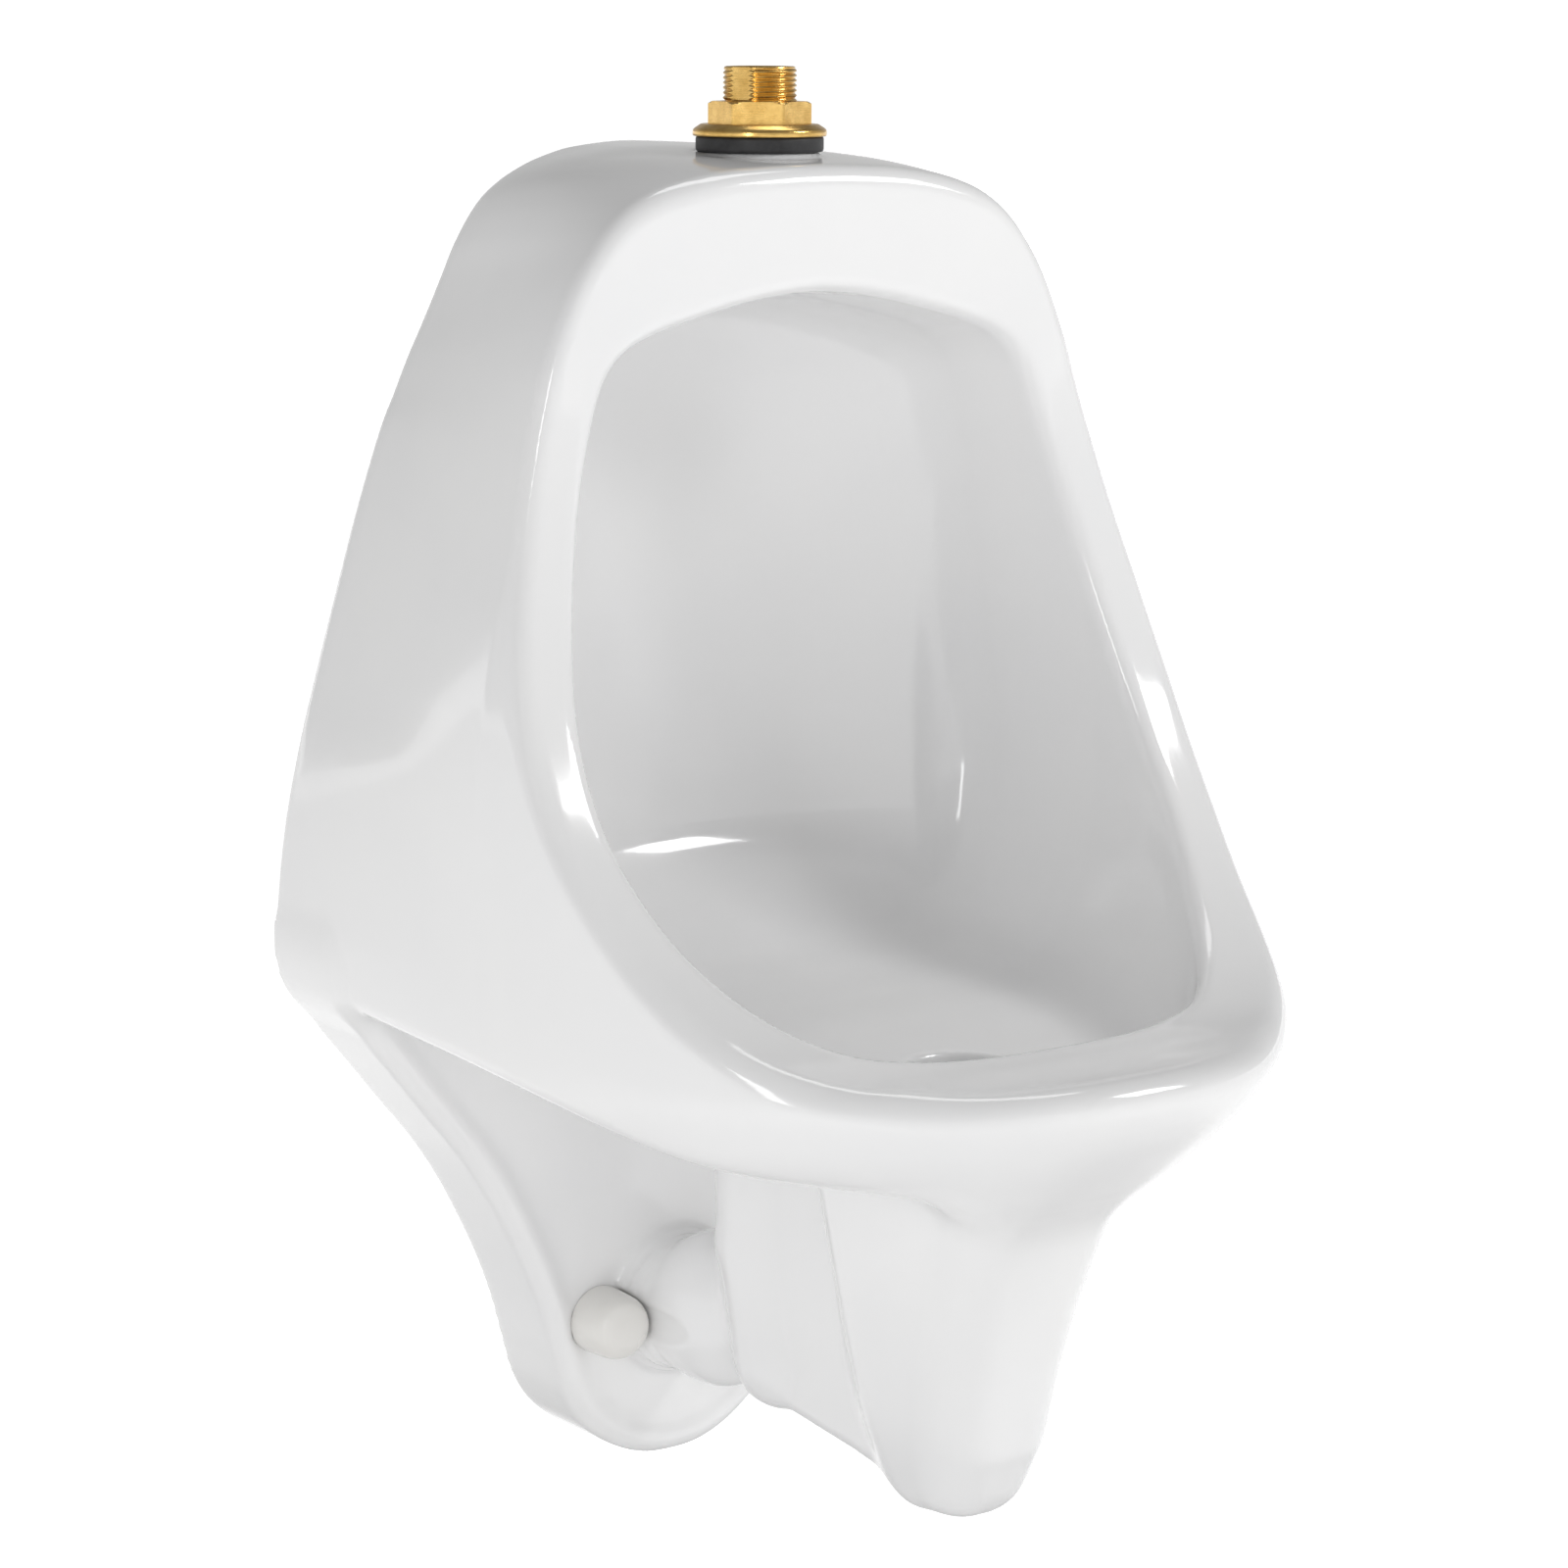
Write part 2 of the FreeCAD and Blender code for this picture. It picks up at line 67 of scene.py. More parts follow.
OPEN = [(0, -60), (22, -61.5), (44, -65), (66, -70), (88, -76), (104, -83), (114, -93), (120, -106), (126, -125),
        (132, -146), (137, -168), (144, -200), (152, -235), (157, -262), (159, -285), (158, -306), (152, -330),
        (140, -352), (126, -375), (110, -396), (92, -412), (60, -425), (0, -430)]
SWEEP = [(96, -40), (92, -80), (84, -165), (80, -230), (80, -290), (83, -328), (92, -354), (110, -369), (136, -377),
         (170, -382), (205, -386), (255, -393), (300, -400), (318, -399), (330, -391), (338, -377), (344, -352), (344, -200),
         (344, -40)]
INPLAN = [(0, 338), (25, 337), (45, 334), (66, 327), (88, 318), (106, 305), (124, 286), (138, 265), (150, 240),
          (158, 215), (164, 180), (170, 120), (176, 40), (180, -20)]
PLATE = [(150, -330), (182, -356), (180, -382), (169, -402), (153, -422), (136, -443), (118, -465), (104, -486), (92, -508), (82, -529),
         (74, -550), (68, -571), (62, -591), (52, -607), (36, -620), (18, -628), (0, -630)]
BEAK = [(-395, 206, 366, 62), (-425, 208, 350, 54), (-445, 210, 339, 48), (-484, 214, 325, 42),
        (-522, 221, 314, 38), (-555, 230, 307, 34), (-578, 241, 301, 28), (-592, 253, 294, 20), (-598.5, 266, 286, 9)]


# ------------------------------------------------------------------ small maths kit
def crom(pts, n=8):
    """Catmull-Rom samples through a polyline."""
    p = np.array(pts, float)
    p = np.vstack([2 * p[0] - p[1], p, 2 * p[-1] - p[-2]])
    out = []
    t = np.linspace(0, 1, n, endpoint=False)[:, None]
    for i in range(1, len(p) - 2):
        a, b, c, d = p[i - 1], p[i], p[i + 1], p[i + 2]
        out.append(0.5 * ((2 * b) + (-a + c) * t + (2 * a - 5 * b + 4 * c - d) * t * t + (-a + 3 * b - 3 * c + d) * t ** 3))
    out.append(p[-2:-1])
    return np.vstack(out)


def mirrored(half, n=8):
    h = np.array(half, float)
    if abs(h[0][0]) < 1e-6:
        full = np.vstack([(h * [-1, 1])[::-1][:-1], h])
    else:
        full = np.vstack([h * [-1, 1], h[::-1][1:] if abs(h[-1][0]) < 1e-6 else h[::-1]])
    return crom(full, n)


def sdf2(u, v, poly):
    """Signed distance on the grid u x v to a closed polygon, negative inside."""
    U, W = np.meshgrid(u, v, indexing="ij")
    P = np.stack([U.ravel(), W.ravel()], -1)
    a = np.asarray(poly, float)
    b = np.roll(a, -1, 0)
    best = np.full(len(P), 1e9)
    sign = np.zeros(len(P), bool)
    for i in range(len(a)):
        e = b[i] - a[i]
        L = float(e @ e)
        if L < 1e-12:
            continue
        w = P - a[i]
        t = np.clip((w @ e) / L, 0, 1)
        q = w - t[:, None] * e
        best = np.minimum(best, (q * q).sum(1))
        c = ((a[i][1] <= P[:, 1]) != (b[i][1] <= P[:, 1]))
        if c.any():
            xs = a[i][0] + (P[:, 1] - a[i][1]) / (e[1] if abs(e[1]) > 1e-12 else 1e-12) * e[0]
            sign ^= c & (P[:, 0] < xs)
    s = np.sqrt(best)
    s[sign] *= -1
    return s.reshape(U.shape).astype(np.float32)


def sstep(x, a, b):
    t = np.clip((x - a) / (b - a), 0, 1)
    return t * t * (3 - 2 * t)


def rmax(a, b, r):
    """Intersection with a round edge of radius r."""
    u = np.maximum(a + r, 0)
    v = np.maximum(b + r, 0)
    return np.minimum(-r, np.maximum(a, b)) + np.sqrt(u * u + v * v)


def rmin(a, b, r):
    """Union with a round fillet of radius r."""
    u = np.maximum(r - a, 0)
    v = np.maximum(r - b, 0)
    return np.maximum(r, np.minimum(a, b)) - np.sqrt(u * u + v * v)


def smin(a, b, k):
    h = np.maximum(k - np.abs(a - b), 0) / k
    return np.minimum(a, b) - h * h * k * 0.25


def smax(a, b, k):
    return -smin(-a, -b, k)


def china_field():
    x = np.arange(-198, 198 + H, H, dtype=np.float32)
    x = x - (x[0] + x[-1]) / 2
    d = np.arange(-4, 408, H, dtype=np.float32) + np.float32(0.37)
    z = np.arange(-644, 12, H, dtype=np.float32)
    X = x[:, None, None]
    D = d[None, :, None]
    Z = z[None, None, :]
    aX = np.abs(X)
    # flanks
    bk = np.vstack([mirrored(BACK), [(160, -560), (-160, -560)]])
    fr = np.vstack([mirrored(FRONT), [(178, -560), (-178, -560)]])
    mi = np.vstack([mirrored(MID), [(168, -560), (-168, -560)]])
    A0 = sdf2(x, z, bk)[:, None, :]
    A1 = sdf2(x, z, fr)[:, None, :]
    AM = sdf2(x, z, mi)[:, None, :]
    # quadratic blend through the three outlines at depth 0, 95 and 168
    t = np.clip(D / 168.0, 0, 1)
    tm = 95.0 / 168.0
    w1 = t * (t - tm) / (1 - tm)
    wm = t * (1 - t) / (tm * (1 - tm))
    w0 = (1 - t) * (tm - t) / tm
    flank = A0 * w0 + AM * wm + A1 * w1
    # plan outline, drawn in below the lip
    P0 = sdf2(x, d, np.vstack([mirrored(PLAN)]))[:, :, None]
    sm = [(px * 0.87, 110 + (pd - 110) * 0.87 if pd > 110 else pd) for px, pd in PLAN]
    P1 = sdf2(x, d, mirrored(sm))[:, :, None]
    t = sstep(-Z, 376, 446) * 1.0
    plan = P0 * (1 - t) + P1 * t
    shell = smax(flank, plan, 46.0)
    # front face
    fpoly = np.vstack([[(-120, 90), (168, 90), (168, 20)], crom(FACE), [(470, -366), (470, -640), (-120, -640)]])
    face = sdf2(d, z, fpoly)[None, :, :]
    edge_r = 9.0 + 7.0 * sstep(D, 300, 385)
    block = rmax(shell, face, edge_r)
    # underside: the skirt edge is the lowest, the middle rises a little
    und = crom(UNDER)[::-1]
    zu = np.interp(d, und[:, 0], und[:, 1]).astype(np.float32)[None, :, None]
    rise = 5.0 * sstep(-shell, 10, 46) * (1 - sstep(D, 60, 190))
    under = (zu + rise) - Z
    ur = 9.0 + 26.0 * sstep(D, 250, 370)
    block = rmax(block, under * 0.95, ur)

    # plate
    pl = np.vstack([mirrored(PLATE[::-1]), [(150, -300), (-150, -300)]])
    PL = sdf2(x, z, pl)[:, None, :]
    lipd = 2.4 * np.exp(-((PL + 8.0) / 6.0) ** 2)
    plate = rmax(PL, D - (PLATE_T + lipd), 6.5)
    body = rmin(block, plate, 16.0)

    # trap chamber, web, rising leg, outlet boss
    bz = np.array(BEAK)[::-1]
    zz = bz[:, 0]

    def curve(col):
        q = crom(np.stack([zz, bz[:, col]], -1), 8)
        return np.interp(z, q[:, 0], q[:, 1]).astype(np.float32)[None, None, :]
    d0, d1, aw = curve(1), curve(2), curve(3)
    # the chamber keeps the same width at every depth (the depth factor is zero)
    r = np.minimum(26.0, aw * 0.82)
    q1 = aX - aw * (1.0 + 0.0 * D)
    q2 = np.abs(D - (d0 + d1) / 2) - (d1 - d0) / 2
    rect = np.sqrt(np.maximum(q1 + r, 0) ** 2 + np.maximum(q2 + r, 0) ** 2) + np.minimum(np.maximum(q1, q2) + r, 0) - r
    beak = smax(rect * 0.95, (-598.0 - Z), 16.0)
    kb = 14.0 + 22.0 * sstep(D, 280, 360)
    beak = rmax(beak, Z + 394.0, 12.0)
    body = smin(body, beak, kb)
    wp = np.array([(128, -370), (128, -560), (140, -573), (216, -582), (262, -590), (300, -560), (300, -370)], float)
    WB = sdf2(d, z, wp)[None, :, :]
    web = rmax(aX - 20.0, WB, 9.0)
    body = smin(body, web, 16.0)

    def capsule(p, q, ra, rb=None):
        rb = ra if rb is None else rb
        pa = np.array(p, np.float32)
        ab = np.array(q, np.float32) - pa
        L = float(ab @ ab)
        h = np.clip(((X - pa[0]) * ab[0] + (D - pa[1]) * ab[1] + (Z - pa[2]) * ab[2]) / L, 0, 1)
        return np.sqrt((X - pa[0] - h * ab[0]) ** 2 + (D - pa[1] - h * ab[1]) ** 2 + (Z - pa[2] - h * ab[2]) ** 2) - (ra + (rb - ra) * h)
    leg = smin(capsule((0, 128.5, -380), (0, 131, -505), 26.5, 26.5), capsule((0, 131, -505), (0, 146, -556), 26.5, 26.0), 3.0)
    body = smin(body, leg, 9.0)
    ex = np.sqrt((X * 1.2) ** 2 + (D - 92.0) ** 2 + (np.maximum(np.abs(Z + 547.0) - 4.0, 0)) ** 2)
    bulge = (ex - 34.0) * 0.9
    boss = smin(capsule((0, 20, -553), (0, 72, -551), 29.5), bulge, 12.0)
    # three fine steps where the boss springs from the plate
    rr = np.sqrt(X ** 2 + (Z + 552.0) ** 2)
    for k, (dk, rk) in enumerate(((55.0, 33.0), (60.5, 31.2), (66.0, 29.6))):
        boss = smin(boss, np.sqrt((rr - rk) ** 2 + (D - dk) ** 2) - 2.2, 3.0)
    body = smin(body, boss, 7.0)

    # bowl cavity
    O1 = sdf2(x, z, mirrored(OPEN)[:-1])[:, None, :]
    op2 = [(px * 0.93, -64 + (pz + 60) * 0.985) for px, pz in OPEN]
    O0 = sdf2(x, z, mirrored(op2)[:-1])[:, None, :]
    t = np.clip((D - 40.0) / 135.0, 0, 1)
    opn = O0 * (1 - t) + O1 * t
    INP = sdf2(x, d, np.vstack([mirrored(INPLAN)]))[:, :, None]
    sw = np.vstack([crom(SWEEP[:-2]), [(344, 90), (96, 90)]])
    ext_d = np.arange(-60, 440, H / 2)
    S = sdf2(ext_d, z, sw)
    cavS = np.empty((len(x), len(d), len(z)), np.float32)
    zw = (sstep(z, -372, -318)).astype(np.float32)
    base = np.searchsorted(ext_d, d)
    for i, xx in enumerate(x):
        c = 26.0 * max(0.0, 1 - (xx / 122.0) ** 2)
        sh = c * zw[None, :]
        f = (d[:, None] + sh * (1 - sstep(d, 150, 260))[:, None] - ext_d[0]) / (H / 2)
        i0 = np.clip(f.astype(int), 0, len(ext_d) - 2)
        w = f - i0
        k = np.arange(len(z))[None, :]
        cavS[i] = S[i0, k] * (1 - w) + S[i0 + 1, k] * w
    cav = smax(smax(opn, INP, 24.0), cavS, 26.0)
    # soften the foot of the side walls
    body = rmax(body, -cav, 8.0)

    # header chamber, spud seat and hole
    seat = np.maximum(np.sqrt(X ** 2 + (D - SPUD_D) ** 2) - 28.0, np.abs(Z + 6.5) - 6.5)
    body = np.minimum(body, seat)
    body = np.maximum(body, -np.maximum(np.sqrt(X ** 2 + (D - SPUD_D) ** 2) - 30.0, -Z))
    cham = np.maximum(np.maximum(aX - 60, np.abs(D - 119) - 33), np.abs(Z + 28) - 14)
    body = np.maximum(body, -cham)
    body = np.maximum(body, -np.maximum(np.sqrt(X ** 2 + (D - SPUD_D) ** 2) - 20.5, -35 - Z))
    # strainer seat and drain
    rd = np.sqrt(X ** 2 + (D - DRAIN_D) ** 2)
    body = rmax(body, -np.maximum(rd - 37.0, SEAT_Z - Z), 1.0)
    body = np.maximum(body, -np.maximum(rd - 24.0, -450 - Z))
    # outlet passage, flange recess, bolt holes, cap seats, hanger pockets, hollow behind the bowl
    ro = np.sqrt(X ** 2 + (Z + ZT) ** 2)
    body = np.maximum(body, -np.maximum(ro - 21.0, D - 62))
    rec = np.minimum(np.maximum(aX - 60, np.abs(Z + ZT) - 20), ro - 40.0)
    body = np.maximum(body, -np.maximum(rec, D - 24))
    rb = np.sqrt((aX - BOLT_X) ** 2 + (Z + ZT) ** 2)
    body = np.maximum(body, -np.maximum(rb - 5.5, D - 80))
    body = np.maximum(body, -np.maximum(np.maximum(rb - (CAP_R + 0.8), PLATE_T - D), D - 112))
    for cz, hz, hx, dp in ((-160.0, 30.0, 29.0, 20.0), (-128.0, 10.0, 24.0, 20.0)):
        pk = np.maximum(np.maximum(np.abs(aX - 88.0) - hx, np.abs(Z - cz) - hz), D - dp)
        if cz == -128.0:
            pk = np.maximum(pk, 8.0 - D)
        body = np.maximum(body, -pk)
    hol = np.maximum(np.maximum(aX - 85, np.abs(Z + 282) - 48), D - 34)
    body = np.maximum(body, -hol)
    # wall plane
    body = rmax(body, -D + 0.05, 2.0)
    return x, d, z, body.astype(np.float32)


def surface_nets(x, d, z, F):
    """Quad mesh of the zero level of F."""
    s = F < 0
    nx, ny, nz = F.shape
    cs = np.zeros((nx - 1, ny - 1, nz - 1), np.uint8)
    for i in (0, 1):
        for j in (0, 1):
            for k in (0, 1):
                cs += s[i:nx - 1 + i, j:ny - 1 + j, k:nz - 1 + k]
    mixed = (cs > 0) & (cs < 8)
    idx = np.full(mixed.shape, -1, np.int64)
    cells = np.argwhere(mixed)
    idx[mixed] = np.arange(len(cells))
    acc = np.zeros((len(cells), 3))
    cnt = np.zeros(len(cells))
    corners = [(i, j, k) for i in (0, 1) for j in (0, 1) for k in (0, 1)]
    ci, cj, ck = cells.T
    for a in corners:
        for ax in range(3):
            if a[ax]:
                continue
            b = list(a)
            b[ax] = 1
            fa = F[ci + a[0], cj + a[1], ck + a[2]]
            fb = F[ci + b[0], cj + b[1], ck + b[2]]
            m = (fa < 0) != (fb < 0)
            t = np.where(m, fa / np.where(m, fa - fb, 1), 0)
            p = np.array(a, float)[None, :].repeat(len(cells), 0)
            p[:, ax] += t
            acc[m] += p[m]
            cnt[m] += 1
    v = cells + acc / cnt[:, None]
    quads = []
    for ax in range(3):
        o = [0, 1, 2]
        o.remove(ax)
        sl0 = [slice(1, -1)] * 3
        sl1 = [slice(1, -1)] * 3
        sl0[ax] = slice(0, -1)
        sl1[ax] = slice(1, None)
        m = s[tuple(sl0)] != s[tuple(sl1)]
        e = np.argwhere(m)
        inside = s[tuple(sl0)][m]
        for c in o:
            e[:, c] += 1
        q = []
        for (u, w) in ((0, 0), (1, 0), (1, 1), (0, 1)):
            c = e.copy()
            c[:, o[0]] -= u
            c[:, o[1]] -= w
            q.append(idx[c[:, 0], c[:, 1], c[:, 2]])
        q = np.stack(q, 1)
        flip = inside if ax != 1 else ~inside
        q[flip] = q[flip][:, ::-1]
        quads.append(q)
    q = np.vstack(quads)
    q = q[(q >= 0).all(1)]
    return v, q


def newton(v, F, n=3):
    """Move grid-space vertices onto the zero level."""
    nx, ny, nz = F.shape

    def samp(p):
        p = np.clip(p, 1.001, np.array([nx, ny, nz]) - 2.002)
        i = p.astype(int)
        f = p - i
        r = 0
        for a in (0, 1):
            for b in (0, 1):
                for c in (0, 1):
                    w = (f[:, 0] if a else 1 - f[:, 0]) * (f[:, 1] if b else 1 - f[:, 1]) * (f[:, 2] if c else 1 - f[:, 2])
                    r = r + w * F[i[:, 0] + a, i[:, 1] + b, i[:, 2] + c]
        return r
    for _ in range(n):
        f0 = samp(v)
        g = np.stack([samp(v + e) - samp(v - e) for e in np.eye(3) * 0.5], 1)
        gg = (g * g).sum(1)
        st = -(f0 / np.maximum(gg, 0.3))[:, None] * g
        L = np.linalg.norm(st, axis=1)
        st *= np.minimum(1, 0.4 / np.maximum(L, 1e-9))[:, None]
        v = v + st
    return v


def build_china():
    x, d, z, F = china_field()
    v, q = surface_nets(x, d, z, F)
    v = newton(v, F)
    # relax the mesh along itself, then settle it on the surface again
    for it in range(2):
        acc = np.zeros_like(v)
        cnt = np.zeros(len(v))
        for a, b in ((0, 1), (1, 2), (2, 3), (3, 0)):
            np.add.at(acc, q[:, a], v[q[:, b]])
            np.add.at(acc, q[:, b], v[q[:, a]])
            np.add.at(cnt, q[:, a], 1)
            np.add.at(cnt, q[:, b], 1)
        v = v * 0.5 + 0.5 * acc / cnt[:, None]
        v = newton(v, F, 1)
    P = np.empty_like(v)
    P[:, 0] = (x[0] + v[:, 0] * H) / 1000
    P[:, 1] = -(d[0] + v[:, 1] * H) / 1000
    P[:, 2] = (z[0] + v[:, 2] * H + ZT) / 1000
    me = bpy.data.meshes.new("china_skin")
    me.vertices.add(len(P))
    me.vertices.foreach_set("co", P.astype(np.float32).ravel())
    me.loops.add(len(q) * 4)
    me.loops.foreach_set("vertex_index", q.ravel().astype(np.int32))
    me.polygons.add(len(q))
    me.polygons.foreach_set("loop_start", np.arange(0, len(q) * 4, 4, dtype=np.int32))
    me.update(calc_edges=True)
    me.validate()
    me.polygons.foreach_set("use_smooth", np.ones(len(me.polygons), bool))
    ob = bpy.data.objects.new("china_skin", me)
    bpy.context.scene.collection.objects.link(ob)
    bm = bmesh.new()
    bm.from_mesh(me)
    bmesh.ops.remove_doubles(bm, verts=bm.verts, dist=0.00002)
    # keep the casting, drop any loose island
    seen = set()
    best = []
    for f in bm.faces:
        if f.index in seen:
            continue
        st, isl = [f], []
        seen.add(f.index)
        while st:
            g = st.pop()
            isl.append(g)
            for e in g.edges:
                for h in e.link_faces:
                    if h.index not in seen:
                        seen.add(h.index)
                        st.append(h)
        if len(isl) < 4000:
            best += isl
    if best:
        bmesh.ops.delete(bm, geom=best, context="FACES")
    bmesh.ops.recalc_face_normals(bm, faces=bm.faces)
    bm.to_mesh(me)
    bm.free()
    print("china verts", len(me.vertices), "faces", len(me.polygons))
    return ob


# ------------------------------------------------------------------ mesh helpers for the turned pieces
def new_obj(name, verts, faces, smooth=True, sharp=34):
    me = bpy.data.meshes.new(name)
    me.from_pydata([tuple(v) for v in verts], [], [tuple(f) for f in faces])
    me.validate()
    ob = bpy.data.objects.new(name, me)
    bpy.context.scene.collection.objects.link(ob)
    bm = bmesh.new()
    bm.from_mesh(me)
    bmesh.ops.recalc_face_normals(bm, faces=bm.faces)
    bm.to_mesh(me)
    bm.free()
    if smooth:
        me.polygons.foreach_set("use_smooth", np.ones(len(me.polygons), bool))
        me.set_sharp_from_angle(angle=math.radians(sharp))
    return ob


def round_profile(pts, r, n=4):
    """Closed (radius, height) profile with its corners rounded by r (one radius or one for each corner)."""
    out = []
    m = len(pts)
    rs = r if isinstance(r, (list, tuple)) else [r] * m
    for i in range(m):
        p0, p1, p2 = (np.array(pts[(i - 1) % m], float), np.array(pts[i], float), np.array(pts[(i + 1) % m], float))
        a, b = p0 - p1, p2 - p1
        la, lb = np.linalg.norm(a), np.linalg.norm(b)
        rr = min(rs[i], la * 0.45, lb * 0.45)
        if rr < 1e-6:
            out.append(p1)
            continue
        q0, q2 = p1 + a / la * rr, p1 + b / lb * rr
        for k in range(n + 1):
            t = k / n
            out.append((1 - t) ** 2 * q0 + 2 * t * (1 - t) * p1 + t * t * q2)
    return np.array(out)


def lathe(name, prof, centre, axis="Z", seg=128, shape=None, sharp=34):
    """Turned solid from a closed (radius, height) profile in mm; shape(theta, r, h) may change the radius."""
    m = len(prof)
    verts = []
    for k in range(seg):
        th = 2 * math.pi * k / seg
        for r, h in prof:
            if shape:
                r = shape(th, r, h)
            if axis == "Z":
                verts.append((centre[0] + r * math.cos(th), centre[1] + r * math.sin(th), centre[2] + h))
            else:
                verts.append((centre[0] + r * math.cos(th), centre[1] - h, centre[2] + r * math.sin(th)))
    faces = []
    for k in range(seg):
        a, b = k * m, ((k + 1) % seg) * m
        for i in range(m):
            j = (i + 1) % m
            faces.append((a + i, b + i, b + j, a + j))
    return new_obj(name, np.array(verts) / 1000.0, faces, sharp=sharp)


def build_spud():
    """Spud tube with a helical outside thread, a flat on two sides and two lugs in the mouth."""
    c = (0.0, -SPUD_D, ZT)
    R, B, pitch, dep, top = 16.7, 12.2, 2.2, 0.95, 38.0
    seg = 180
    hs = np.arange(-26.0, top - 0.001, pitch / 8)
    outer = [(R, h) for h in hs]
    prof = [(B, -30.0), (27.6, -30.0), (28.0, -29.6), (28.0, -26.4), (27.6, -26.0), (R, -26.0)] + outer[1:]
    prof += [(R - 1.0, top - 0.35), (R - 1.5, top), (B + 1.3, top), (B + 0.2, top - 1.6), (B, top - 2.4)]
    prof += [(B, h) for h in np.arange(top - 5, -29.9, -4.0)]
    n_in0 = 6 + len(outer) - 1 + 5

    def shape(th, r, h):
        if r > R - 0.01 and r < R + 0.01 and -25 < h < top - 0.2:
            ph = (h / pitch - th / (2 * math.pi)) % 1.0
            tri = 1 - abs(2 * ph - 1)
            tri = min(1.0, max(0.0, (tri - 0.12) / 0.76))
            r = R - dep * (1 - tri)
            if h > top - 2.2:
                r = min(r, R - 0.9 * (h - top + 2.2) / 2.2)
            if h > 23.2:
                for f0 in (math.radians(200), math.radians(20)):
                    dd = (th - f0 + math.pi) % (2 * math.pi) - math.pi
                    if abs(dd) < 0.9:
                        r = min(r, (R - 1.5) / math.cos(dd))
        elif r < B + 1.4 and h > 19.0 and h < top - 0.9:
            for f0 in (0.0, math.pi):
                dd = (th - f0 + math.pi) % (2 * math.pi) - math.pi
                w = max(0.0, min(1.0, (0.24 - abs(dd)) / 0.05))
                r = r - 2.6 * w
        return r
    return lathe("spud_tube_threaded", prof, c, seg=seg, shape=shape, sharp=50)


def build_locknut():
    """Hexagonal locknut with chamfered top corners."""
    c = (0.0, -SPUD_D, ZT)
    h0, h1 = 12.5, 22.5
    AF = 20.3
    prof = [(16.9, h0), (25.0, h0), (25.0, h0 + 1.2), (25.0, h0 + 5.0), (25.0, h1 - 2.6), (23.4, h1 - 1.1), (21.6, h1), (17.6, h1), (16.9, h1 - 0.7)]
    prof = [tuple(p) for p in round_profile(prof, [0.1, 0.5, 0.1, 0.1, 0.6, 0.5, 0.5, 0.3, 0.3], 3)]

    def shape(th, r, h):
        if r > 17.8:
            a = (th + math.pi / 6 + math.radians(8)) % (math.pi / 3) - math.pi / 6
            hexr = AF / math.cos(a)
            k = 6.0
            hexr = hexr if hexr < r - 0.0 else r
            return hexr
        return r
    return lathe("spud_locknut_hex", prof, c, seg=240, shape=shape, sharp=24)


def build_turned():
    out = {}
    c = (0.0, -SPUD_D, ZT)
    out["spud_collar"] = lathe("spud_collar_ring", round_profile([(16.9, 7.0), (30.3, 7.0), (30.3, 10.0), (26.5, 12.5), (16.9, 12.5)], [0.3, 0.9, 1.2, 0.7, 0.3]), c)
    out["spud_gasket"] = lathe("spud_gasket_ring", round_profile([(16.9, 0.05), (28.9, 0.05), (28.9, 7.0), (16.9, 7.0)], [0.3, 1.6, 1.4, 0.3]), c)
    for s, side in ((-1, "left"), (1, "right")):
        z0 = PLATE_T + 0.4
        pr = [(CAP_R - 1.9, z0), (CAP_R, z0), (CAP_R - 0.55, z0 + 14), (CAP_R - 1.2, z0 + 19.0), (CAP_R - 3.6, z0 + 23.0), (CAP_R - 7.5, z0 + 24.6),
              (3.0, z0 + 24.95), (0.02, z0 + 24.98), (0.02, z0 + 23.0), (CAP_R - 8.5, z0 + 22.6), (CAP_R - 3.6, z0 + 20.0), (CAP_R - 2.6, z0 + 14.0)]
        # smooth outer curve through the profile's shoulder
        out["bolt_cap_" + side] = lathe("cap_shell_" + side, round_profile(pr, [0.3, 0.5, 3, 3, 3, 2.5, 2, 0, 0, 2, 2, 2], 5),
                                        (s * BOLT_X, 0.0, 0.0), axis="Y", seg=112, sharp=50)
    return out


# ------------------------------------------------------------------ materials
def mat(name):
    m = bpy.data.materials.new(name)
    m.use_nodes = True
    nt = m.node_tree
    for n in list(nt.nodes):
        if n.type != "OUTPUT_MATERIAL" and n.type != "BSDF_PRINCIPLED":
            nt.nodes.remove(n)
    b = next(n for n in nt.nodes if n.type == "BSDF_PRINCIPLED")
    return m, nt, b


def N(nt, kind, **kw):
    n = nt.nodes.new(kind)
    for k, v in kw.items():
        if k in n.inputs:
            n.inputs[k].default_value = v
        else:
            setattr(n, k, v)
    return n


def noise_of(nt, scale, detail=3.0, rough=0.5, stretch=None):
    tc = N(nt, "ShaderNodeTexCoord")
    src = tc.outputs["Object"]
    if stretch:
        mp = N(nt, "ShaderNodeMapping")
        mp.inputs["Scale"].default_value = stretch
        nt.links.new(src, mp.inputs["Vector"])
        src = mp.outputs["Vector"]
    no = N(nt, "ShaderNodeTexNoise")
    no.inputs["Scale"].default_value = scale
    no.inputs["Detail"].default_value = detail
    no.inputs["Roughness"].default_value = rough
    nt.links.new(src, no.inputs["Vector"])
    return no


def ramp(nt, src, lo, hi, p0=0.3, p1=0.7):
    r = N(nt, "ShaderNodeValToRGB")
    r.color_ramp.elements[0].position = p0
    r.color_ramp.elements[0].color = (*lo, 1)
    r.color_ramp.elements[1].position = p1
    r.color_ramp.elements[1].color = (*hi, 1)
    nt.links.new(src, r.inputs["Fac"])
    return r.outputs["Color"]


def span(nt, src, lo, hi):
    r = N(nt, "ShaderNodeMapRange")
    r.inputs["To Min"].default_value = lo
    r.inputs["To Max"].default_value = hi
    nt.links.new(src, r.inputs["Value"])
    return r.outputs["Result"]


